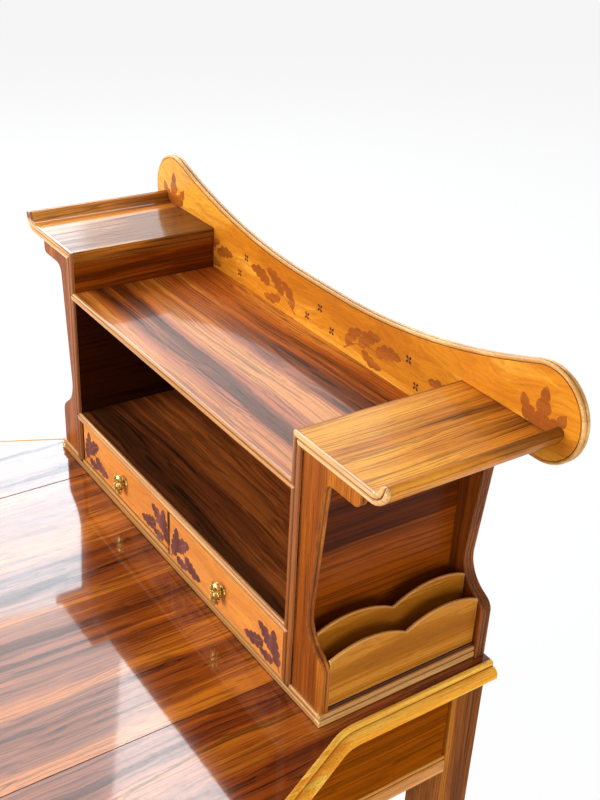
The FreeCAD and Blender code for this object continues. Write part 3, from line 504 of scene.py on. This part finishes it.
def rubbed_right(tree, place):
    """Polish that is thick on the left-hand wing and worn thin on the right-hand one."""
    return between(tree, on_the_right(tree, place), 0.55, 0.2)


wing_rosewood = timber("wing_rosewood", "y", (0.05, 0.62, 0.45), "f4a83a d48226 6a3812 2a120a",
                       width=0.06, wander=0.04, lean=dark_behind, darkness=0.85, shine=0.02,
                       coat=rubbed_right, radius=0.008, wear_and_highlight=0.1, fray=0.25)
dress(wing_rosewood, "wing_right", "wing_left")

# ------------------------------------------------------------------------------- shelves and back
# The centre shelf is rosewood with bold orange and near-black streaks along its length; the
# drawer shelf, the divider and the box back are of darker stuff. All are housed in the sides.
shelf_rosewood = timber("shelf_rosewood", "x", (0.33, -0.096, 0.2), "dc8a34 ba5e1c 5c2c10 1a0c06",
                        width=0.07, wander=0.06, darkness=0.95, lines=0.9, shine=0.08,
                        coat=0.29, coat_rough=0.07, fray=0.25)
dress(shelf_rosewood, "centre_shelf")
inner_rosewood = timber("inner_rosewood", "x", (0.8, 0.45, 0.1), "b4642a 7c401d 381e0e 140a06",
                        width=0.07, wander=0.06, lines=0.9, shine=0.2)
dress(inner_rosewood, "drawer_shelf", "box_back", "drawer_divider")

# ------------------------------------------------------------------------------- reeded lippings
# Pairs of walnut reeds cover the front edges of sides, wings and shelves. The reeds of each
# side meet those of its wing in a mitre, and their grain goes round with them.
REED_MITRE = 1.4147                     # X and height together, all along the mitre


def past_the_mitre(tree, place):
    """1 on the reeds of the wing and 0 on those of the upright side."""
    way_out = reckon(tree, "ABSOLUTE", axis(tree, place, "X"))
    total = reckon(tree, "ADD", way_out, axis(tree, place, "Z"))
    return reckon(tree, "GREATER_THAN", total, REED_MITRE)


def round_the_corner(tree, place):
    """The piece's place with the way along the reed first: height on the side, X on the wing."""
    x, y, z = node(tree, "SeparateXYZ", {0: place}).outputs
    upright = node(tree, "CombineXYZ", {0: z, 1: y, 2: x}).outputs[0]
    past = past_the_mitre(tree, place)
    return node(tree, "Mix", {0: past, 4: upright, 5: place}, data_type="VECTOR").outputs[1]


def paler_above(tree, place):
    """Leads the reeds' figure to dark on the sides and to pale on the wings; the further dark on the
    left-hand side is painted shade.
    """
    right_hand = on_the_right(tree, place)
    on_side = between(tree, right_hand, -0.2, -0.1)
    on_wing = between(tree, right_hand, 0.05, 0.22)
    return between(tree, past_the_mitre(tree, place), on_side, on_wing)


# Reeds and lippings are pale on their edges from wear and a painted highlight.
reed_finish = {"width": 0.02, "wander": 0.01, "darkness": 0.3, "wear_and_highlight": 1.0, "grime_and_shade": 0.45,
               **bead_finish}
reed_walnut = timber("reed_walnut", round_the_corner, (0.3, 0.9, 0.7),
                     "ecb674 a45e28 623414 3c2010", lean=paler_above, rubbed_and_highlight="eabd88",
                     **reed_finish)
dress(reed_walnut, "edge_reed_right", "edge_reed_left")
lipping_walnut = timber("lipping_walnut", "x", (0.1, 0.6, 0.2), "f0b878 c48446 84502a 3c2010",
                        rubbed_and_highlight="f6d4aa", **reed_finish)
dress(lipping_walnut, "centre_shelf_edge", "drawer_shelf_edge")

# ------------------------------------------------------------------------------- standards
# Shaped walnut boards carry the wings at the front and the panel at the back; their grain is
# upright and their outer edges are reeded.
FRONT_TO_BACK = (0.1, 0.28)             # in Y, from the front standards to the back ones


def paler_in_front(tree, place):
    """Leads the figure towards pale on the front boards and towards dark on the back posts."""
    back = smooth(tree, axis(tree, place, "Y"), *FRONT_TO_BACK)
    return between(tree, back, 0.04, -0.07)


# The reeds' pale edges are wear and a painted highlight.
standard_walnut = timber("standard_walnut", "z", (0.0, 0.33, 0.15), "c4701f 944a15 54270c 260f06",
                         width=0.04, wander=0.02, lean=paler_in_front, darkness=0.6,
                         radius=0.0022, wear_and_highlight=0.9, grime_and_shade=0.5, shine=0.1, rubbed_and_highlight="e4b078")
dress(standard_walnut, "front_standard_right", "front_standard_left",
      "back_standard_right", "back_standard_left")

# ------------------------------------------------------------------------------- back panel
# One long board of satinwood, lobed at both ends and fixed to the back standards, with a
# beaded strip of walnut along its edge.
panel_satinwood = timber("panel_satinwood", "x", (0.25, 0.1, 0.35), "efa838 d8861e b86414 7c440c",
                         width=0.09, wander=0.2, darkness=0.6, lines=0.2, shine=0.25,
                         fray=0.3, grime_and_shade=0.35)
dress(panel_satinwood, "back_panel")
panel_bead_walnut = timber("panel_bead_walnut", "x", (0.9, 0.6, 0.1),
                           "f0bc74 d49c54 ac783c 6c4420", width=0.02, darkness=0.3, lines=0.1,
                           grime_and_shade=0.35)
dress(panel_bead_walnut, "back_panel_bead")

# ------------------------------------------------------------------------------- panel inlay
# Leaf sprays of a redder wood are let into the panel, faint against the satinwood, with small
# dark four-petalled flowers between them. Each is a thin slip of veneer, a hair proud.
PROUD = 0.00015                         # veneer before the wood around it
SUNK = 0.0005                           # its back behind that wood's face
OVERLAY = 0.00002                       # each later slip before the one that it crosses
VEIN = 0.00025                          # half the gap along a leaf's middle
FLOWER_REACH = 0.0066


def skin(lofts):
    """Points and faces of closed skins, each from a grid of rings that is capped at both ends.

    Faces join every point to the next on its ring and to those of the next ring. The volume
    under a skin is a sixth of the sum of each triangle's triple product, and a skin whose
    volume is negative is turned, so that all faces point outwards.
    """
    points, faces, start = [], [], 0
    for rings in lofts:
        count, around = rings.shape[:2]
        here = np.arange(count * around).reshape(count, around)
        after = np.roll(here, -1, axis=1)
        quads = np.stack([here[:-1], after[:-1], after[1:], here[1:]], -1).reshape(-1, 4)
        flat = rings.reshape(-1, 3) - rings.reshape(-1, 3).mean(axis=0)
        corners = np.concatenate([quads[:, [0, 1, 2]], quads[:, [0, 2, 3]]])
        volume = np.einsum("ij,ij->", flat[corners[:, 0]],
                           np.cross(flat[corners[:, 1]], flat[corners[:, 2]]))
        turned = -1 if volume < 0 else 1
        for part in (quads, here[:1, ::-1], here[-1:]):
            faces += (start + part[:, ::turned]).tolist()
        points.append(rings.reshape(-1, 3))
        start += count * around
    return np.concatenate(points), faces


def add_piece(name, lofts, material, body, rounded=False):
    """A new piece from closed lofts, in metres, with its finish and the body that carries it."""
    points, faces = skin(lofts)
    mesh = bpy.data.meshes.new(name)
    mesh.from_pydata(points.tolist(), [], faces)
    mesh.materials.append(material)
    if rounded:
        mesh.shade_smooth()
    piece = bpy.data.objects.new(name, mesh)
    scene.collection.objects.link(piece)
    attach(piece, body)
    return piece


def slip(spine, low, high, face):
    """A flat slip of veneer along a spine in (x, z), between two distances to its right.

    Each cross-section is a rectangle from just before the face to just behind it.
    """
    way = np.gradient(spine, axis=0)
    side = np.stack([way[:, 1], -way[:, 0]], axis=1) / np.linalg.norm(way, axis=1)[:, None]
    near, far = spine + side * low[:, None], spine + side * high[:, None]
    front, back = face - PROUD, face + SUNK
    corners = [(near, front), (far, front), (far, back), (near, back)]
    return np.stack([np.insert(edge, 1, depth, axis=1) for edge, depth in corners], axis=1)


def bowed(root, tip, bow, steps=41):
    """A line from root to tip whose middle is pushed out to its right by bow, as a half sine."""
    share = np.linspace(0.0, 1.0, steps)[:, None]
    root, tip = np.array(root), np.array(tip)
    way = tip - root
    side = np.array([way[1], -way[0]]) / np.linalg.norm(way)
    return root + way * share + side * bow * np.sin(np.pi * share)


def lobed_leaf(root, tip, bow, width, lobes, face):
    """Two halves of a lobed leaf, split by a fine vein.

    The half-width is a long sine hump, times a ripple that falls to half between the lobes.
    """
    spine = bowed(root, tip, bow, steps=61)
    share = np.linspace(0.0, 1.0, len(spine))
    hump = np.sin(np.pi * share ** 0.75) ** 0.6
    ripple = 0.5 + 0.5 * np.abs(np.sin(np.pi * lobes * share)) ** 0.55
    half = width * hump * ripple
    vein = np.minimum(half * 0.5, VEIN)
    return [slip(spine, vein, half, face), slip(spine, -half, -vein, face)]


def stem(root, tip, bow, thick, face):
    """A stalk that is thick at its root and half as thick at its tip."""
    spine = bowed(root, tip, bow)
    half = thick * np.linspace(0.5, 0.25, len(spine))
    return [slip(spine, -half, half, face)]


def small_flower(centre, reach, face):
    """Four round petals, whose half-width is a sine hump that is widest at three fifths."""
    share = np.linspace(0.0, 1.0, 15)
    half = reach * 0.27 * np.sin(np.pi * share ** 1.4) ** 0.7
    petals = []
    for angle in np.radians([45, 135, 225, 315]):
        way = np.array([cos(angle), sin(angle)])
        spine = np.array(centre) + way * reach * (0.08 + 0.92 * share[:, None])
        petals.append(slip(spine, -half, half, face))
    return petals


def spray(leaves, stalks, at, scale, flip, face):
    """Leaves and stalks of one spray, in millimetres from the spot where it is set down."""
    def put(spot):
        """A spot of the spray, set down and flipped, in metres."""
        return (at[0] + flip * scale * spot[0] / 1000, at[1] + scale * spot[1] / 1000)

    lofts = []
    for root, tip, bow, thick in stalks:
        lofts += stem(put(root), put(tip), flip * scale * bow / 1000, scale * thick / 1000,
                      face - OVERLAY * len(lofts))
    for root, tip, bow, width, lobes in leaves:
        lofts += lobed_leaf(put(root), put(tip), flip * scale * bow / 1000,
                            scale * width / 1000, lobes, face - OVERLAY * len(lofts))
    return lofts


# Leaves are (root, tip, bow, half width, lobes) and stalks are (root, tip, bow, thickness).
panel_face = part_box("back_panel")[0][1]
fan_leaves = [((0, -34), (0, 34), 0, 13, 4), ((-3, -20), (-33, 12), -5, 11, 3),
              ((3, -20), (33, 12), 5, 11, 3)]
fan_stalks = [((0, -46), (0, -30), 0, 2.4)]
trail_leaves = [((6, 8), (38, 40), -6, 10, 3), ((34, 18), (78, 46), -6, 11, 4),
                ((70, 22), (122, 34), -5, 11, 4), ((40, 14), (84, 4), 4, 8, 3)]
trail_stalks = [((0, 2), (74, 24), -8, 2.2)]
panel_spots = [(fan_leaves, fan_stalks, 0.426, 1.139, 1.0, 1),
               (trail_leaves, trail_stalks, 0.06, 1.062, 1.0, 1),
               (trail_leaves, trail_stalks, 0.345, 1.062, 0.9, -1)]
flower_spots = [(0.0, 1.098), (0.03, 1.075), (0.196, 1.104), (0.214, 1.074), (0.372, 1.112),
                (0.404, 1.09)]
veneer = {"width": 0.02, "shine": 0.35, "wear_and_highlight": 0.0, "radius": 0.0001}
inlay_russet = timber("inlay_russet", "x", (0.4, 0.8, 0.2), "c06a22 a8581a 8a4612 6e380f",
                      darkness=0.4, lines=0.3, **veneer)
inlay_dark = timber("inlay_dark", "x", (0.6, 0.1, 0.7), "5a2c1c 44201a 301614 1c0e0c",
                    darkness=0.4, lines=0.3, **veneer)
panel_sprays, panel_flowers = [], []
for side in (1, -1):
    for leaves, stalks, across, height, scale, flip in panel_spots:
        panel_sprays += spray(leaves, stalks, (side * across, height), scale, side * flip,
                              panel_face)
for across, height in flower_spots:
    for side in ((1, -1) if across else (1,)):
        panel_flowers += small_flower((side * across, height), FLOWER_REACH, panel_face)
add_piece("panel_inlay_sprays", panel_sprays, inlay_russet, "desk")
add_piece("panel_inlay_flowers", panel_flowers, inlay_dark, "desk")

# ------------------------------------------------------------------------------- letter racks
# Thin boards of pale walnut with scalloped tops stand in two rows between the standards.
# A fillet of dark walnut lies below the outer row.
# The pale band along the scalloped tops is a painted highlight as well as wear.
rack_walnut = timber("rack_walnut", "y", (0.45, 0.2, 0.65), "cc842c b06a18 8c5212 4a260a",
                     width=0.02, lean=-0.02, darkness=0.35, lines=0.35, dullness=0.42,
                     radius=0.0035, wear_and_highlight=1.0, shine=0.04, rubbed_and_highlight="f0c080")
dress(rack_walnut, "rack_inner_right", "rack_inner_left", "rack_outer_right", "rack_outer_left")
fillet_walnut = timber("fillet_walnut", "y", (0.1, 0.1, 0.9), "7c4420 5a2c16 301610 180a08",
                       width=0.03, darkness=0.6)
dress(fillet_walnut, "rack_fillets")

# ------------------------------------------------------------------------------- drawers
# Satinwood fronts on plain oak sides, backs and bottoms. The runners, the kickers and the
# leaf's stop inside the frame are of the same oak.
front_satinwood = timber("front_satinwood", "x", (0.5, 0.3, 0.05), "f8b25e ea9844 c87432 7e4418",
                         width=0.09, wander=0.14, darkness=0.5, lines=0.15, shine=0.4,
                         fray=0.3)
dress(front_satinwood, "small_drawer_right_front", "small_drawer_left_front",
      "frieze_drawer_front")
drawer_oak = timber("drawer_oak", "y", (0.2, 0.2, 0.2), "cfae7c bb955f 946c40 66451f",
                    width=0.02, darkness=0.4, lines=0.3, dullness=0.6)
dress(drawer_oak, "drawer_runners", "drawer_kickers", "leaf_stop", *[
    f"{drawer}_{part}" for drawer in ("small_drawer_right", "small_drawer_left", "frieze_drawer")
    for part in ("sides", "back", "bottom")])

# ------------------------------------------------------------------------------- drawer inlay
# Sprays of purple-brown oak leaves fill the lower corners of each front, mirrored about its
# middle. They are veneer, let in as on the panel.
corner_leaves = [((8, 10), (20, 60), 4, 12, 4), ((22, 24), (56, 50), -4, 12, 4),
                 ((44, 26), (88, 13), 5, 11, 4), ((20, 11), (52, 10), 2, 8, 3)]
corner_stalks = [((4, 3), (46, 27), -9, 1.8)]
inlay_purple = timber("inlay_purple", "z", (0.2, 0.5, 0.9), "8a5048 70403c 54302e 38201e",
                      darkness=0.5, lines=0.4, **veneer)
for drawer, scale in (("small_drawer_right", 1.0), ("small_drawer_left", 1.0),
                      ("frieze_drawer", 1.4)):
    low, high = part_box(drawer + "_front")
    corner_sprays = []
    for corner, flip in ((low[0], 1), (high[0], -1)):
        corner_sprays += spray(corner_leaves, corner_stalks, (corner, low[2]), scale, flip, low[1])
    add_piece(drawer + "_inlay", corner_sprays, inlay_purple, drawer)

# ------------------------------------------------------------------------------- brass pulls
# Each pull is cast brass, chased and lacquered: a lobed rose against the wood, a short neck,
# and an upright bud that is wrapped in three tiers of curled leaves.
BUD_OUT = 0.010                         # face of the drawer to the middle of the bud
BUD_HEIGHT, BUD_WIDE, BUD_DEEP = 0.034, 0.0078, 0.0052      # half-widths, the last two
LEAF_OUT = 0.0064                       # a leaf's foot from the middle of the bud
LEAF_THICK = 0.0007
LEAF_CURL = 1.9                         # radians that a leaf's rise turns over
LEAF_CUP = 12                           # its edges fall back by this times across, squared
BUD_SQUASH = 0.72                       # the ring of leaves is flatter than it is wide
TIER_LEAVES = 6
FRIEZE_PULLS = (-0.190, 0.190)


def turned_form(reach, out, lobes=0, depth=0.0):
    """A form turned about the Y axis, as radii at distances before the face.

    Each radius is multiplied by one plus depth times the cosine of lobes times the angle.
    """
    angle = np.linspace(0.0, 2 * np.pi, 60, endpoint=False)[None]
    radius = np.array(reach)[:, None] * (1 + depth * np.cos(lobes * angle))
    return np.stack([radius * np.cos(angle), -np.array(out)[:, None] + 0 * angle,
                     radius * np.sin(angle)], axis=-1)


def bud_body():
    """Upright spindle: an ellipse's radius, drawn in at two waists, times six lobes.

    The lobes are a cosine round the spindle, and wind an eighth of a turn on the way up.
    """
    angle = np.linspace(0.0, 2 * np.pi, 48, endpoint=False)[None]
    climb = np.linspace(-0.995, 0.995, 40)[:, None]
    swell = np.sqrt(1 - climb ** 2) * (0.86 + 0.14 * np.cos(3 * np.pi * climb))
    ripple = 1 + 0.10 * np.cos(6 * angle + 2.4 * climb)
    radius = swell * ripple
    return np.stack([BUD_WIDE * radius * np.cos(angle),
                     BUD_DEEP * radius * np.sin(angle) - BUD_OUT,
                     BUD_HEIGHT / 2 * climb + 0 * angle], axis=-1)


def curled_leaf(angle, foot, length, flare, width):
    """A leaf on the bud, as a flat oval section carried up the side and out into a curl.

    Its way out grows with the cube of the way along, less the square of the way across, so
    that it is cupped. Its width is a rippled sine hump, and its rise slows like a sine.
    """
    share = np.linspace(0.02, 0.98, 18)[:, None]
    around = np.linspace(0.0, 2 * np.pi, 12, endpoint=False)[None]
    half = width * np.sin(np.pi * share ** 0.7) ** 0.6 * (0.8 + 0.2 * np.abs(np.sin(9 * share)))
    across = half * np.cos(around)
    thick = LEAF_THICK * np.sin(around)
    height = foot + length * np.sin(share * LEAF_CURL) / sin(LEAF_CURL) * 0.9
    out = LEAF_OUT + flare * share ** 3 + thick - LEAF_CUP * across ** 2
    x = out * cos(angle) - across * sin(angle)
    y = out * sin(angle) + across * cos(angle)
    return np.stack([x, BUD_SQUASH * y - BUD_OUT, height + 0 * x], axis=-1)


def pull_form():
    """All the lofts of one pull about the point where its axis meets the drawer's face."""
    rose = turned_form([0.0002, 0.0062, 0.0086, 0.0090, 0.0080, 0.0050, 0.0030, 0.0002],
                       [-0.0006, -0.0006, -0.0002, 0.0008, 0.0018, 0.0022, 0.0030, 0.0030],
                       lobes=9, depth=0.07)
    neck = turned_form([0.0001, 0.0042, 0.0030, 0.0024, 0.0026, 0.0040, 0.0001],
                       [0.0014, 0.0016, 0.0026, 0.0038, 0.0050, 0.0064, 0.0066])
    lofts = [rose, neck, bud_body()]
    tiers = [(-0.0150, 0.0095, 0.0034, 0.0034), (-0.0060, 0.0100, 0.0040, 0.0036),
             (0.0050, 0.0085, 0.0036, 0.0032)]
    for tier, (foot, length, flare, width) in enumerate(tiers):
        start = 0.5 * (tier % 2)        # each tier's leaves cover the gaps of the last one's
        for step in range(TIER_LEAVES):
            angle = 2 * np.pi * (step + start) / TIER_LEAVES
            lofts.append(curled_leaf(angle, foot, length, flare, width))
    return lofts


def cast_brass():
    """Brass in two cloudy tones, with brown in the hollows and a faintly uneven skin."""
    material = bpy.data.materials.new("cast_brass")
    material.use_nodes = True
    tree = material.node_tree
    shader = tree.nodes["Principled BSDF"]
    place = node(tree, "TexCoord").outputs["Object"]
    cloud = node(tree, "TexNoise", {"Vector": place, "Scale": 220.0, "Detail": 3.0}).outputs["Fac"]
    edges = node(tree, "Group", {"Radius": 0.0003, "Reach": 0.004}, node_tree=EDGES).outputs
    colour = mixed(tree, smooth(tree, cloud, 0.35, 0.65), tone("d8b45a"), tone("f2dc92"))
    colour = mixed(tree, reckon(tree, "MULTIPLY", edges["Dirt And Shade"], 0.7), colour, tone("5a3c14"))
    tree.links.new(colour, shader.inputs["Base Color"])
    rough = reckon(tree, "MULTIPLY_ADD", cloud, 0.2, 0.2)
    rough = reckon(tree, "MULTIPLY_ADD", edges["Dirt And Shade"], 0.4, rough)
    tree.links.new(rough, shader.inputs["Roughness"])
    bump = node(tree, "Bump", {"Strength": 0.3, "Distance": 0.0002, "Height": cloud})
    tree.links.new(bump.outputs[0], shader.inputs["Normal"])
    shader.inputs["Metallic"].default_value = 1.0
    return material


pull_brass = cast_brass()
one_pull = pull_form()
for drawer, places in (("small_drawer_right", None), ("small_drawer_left", None),
                       ("frieze_drawer", FRIEZE_PULLS)):
    low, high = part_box(drawer + "_front")
    middle = (low[2] + high[2]) / 2
    places = places or ((low[0] + high[0]) / 2,)
    lofts = [rings + np.array([x, low[1], middle]) for x in places for rings in one_pull]
    cast = add_piece(drawer + "_cast_pull", lofts, pull_brass, drawer, rounded=True)
    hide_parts(drawer + "_pull")
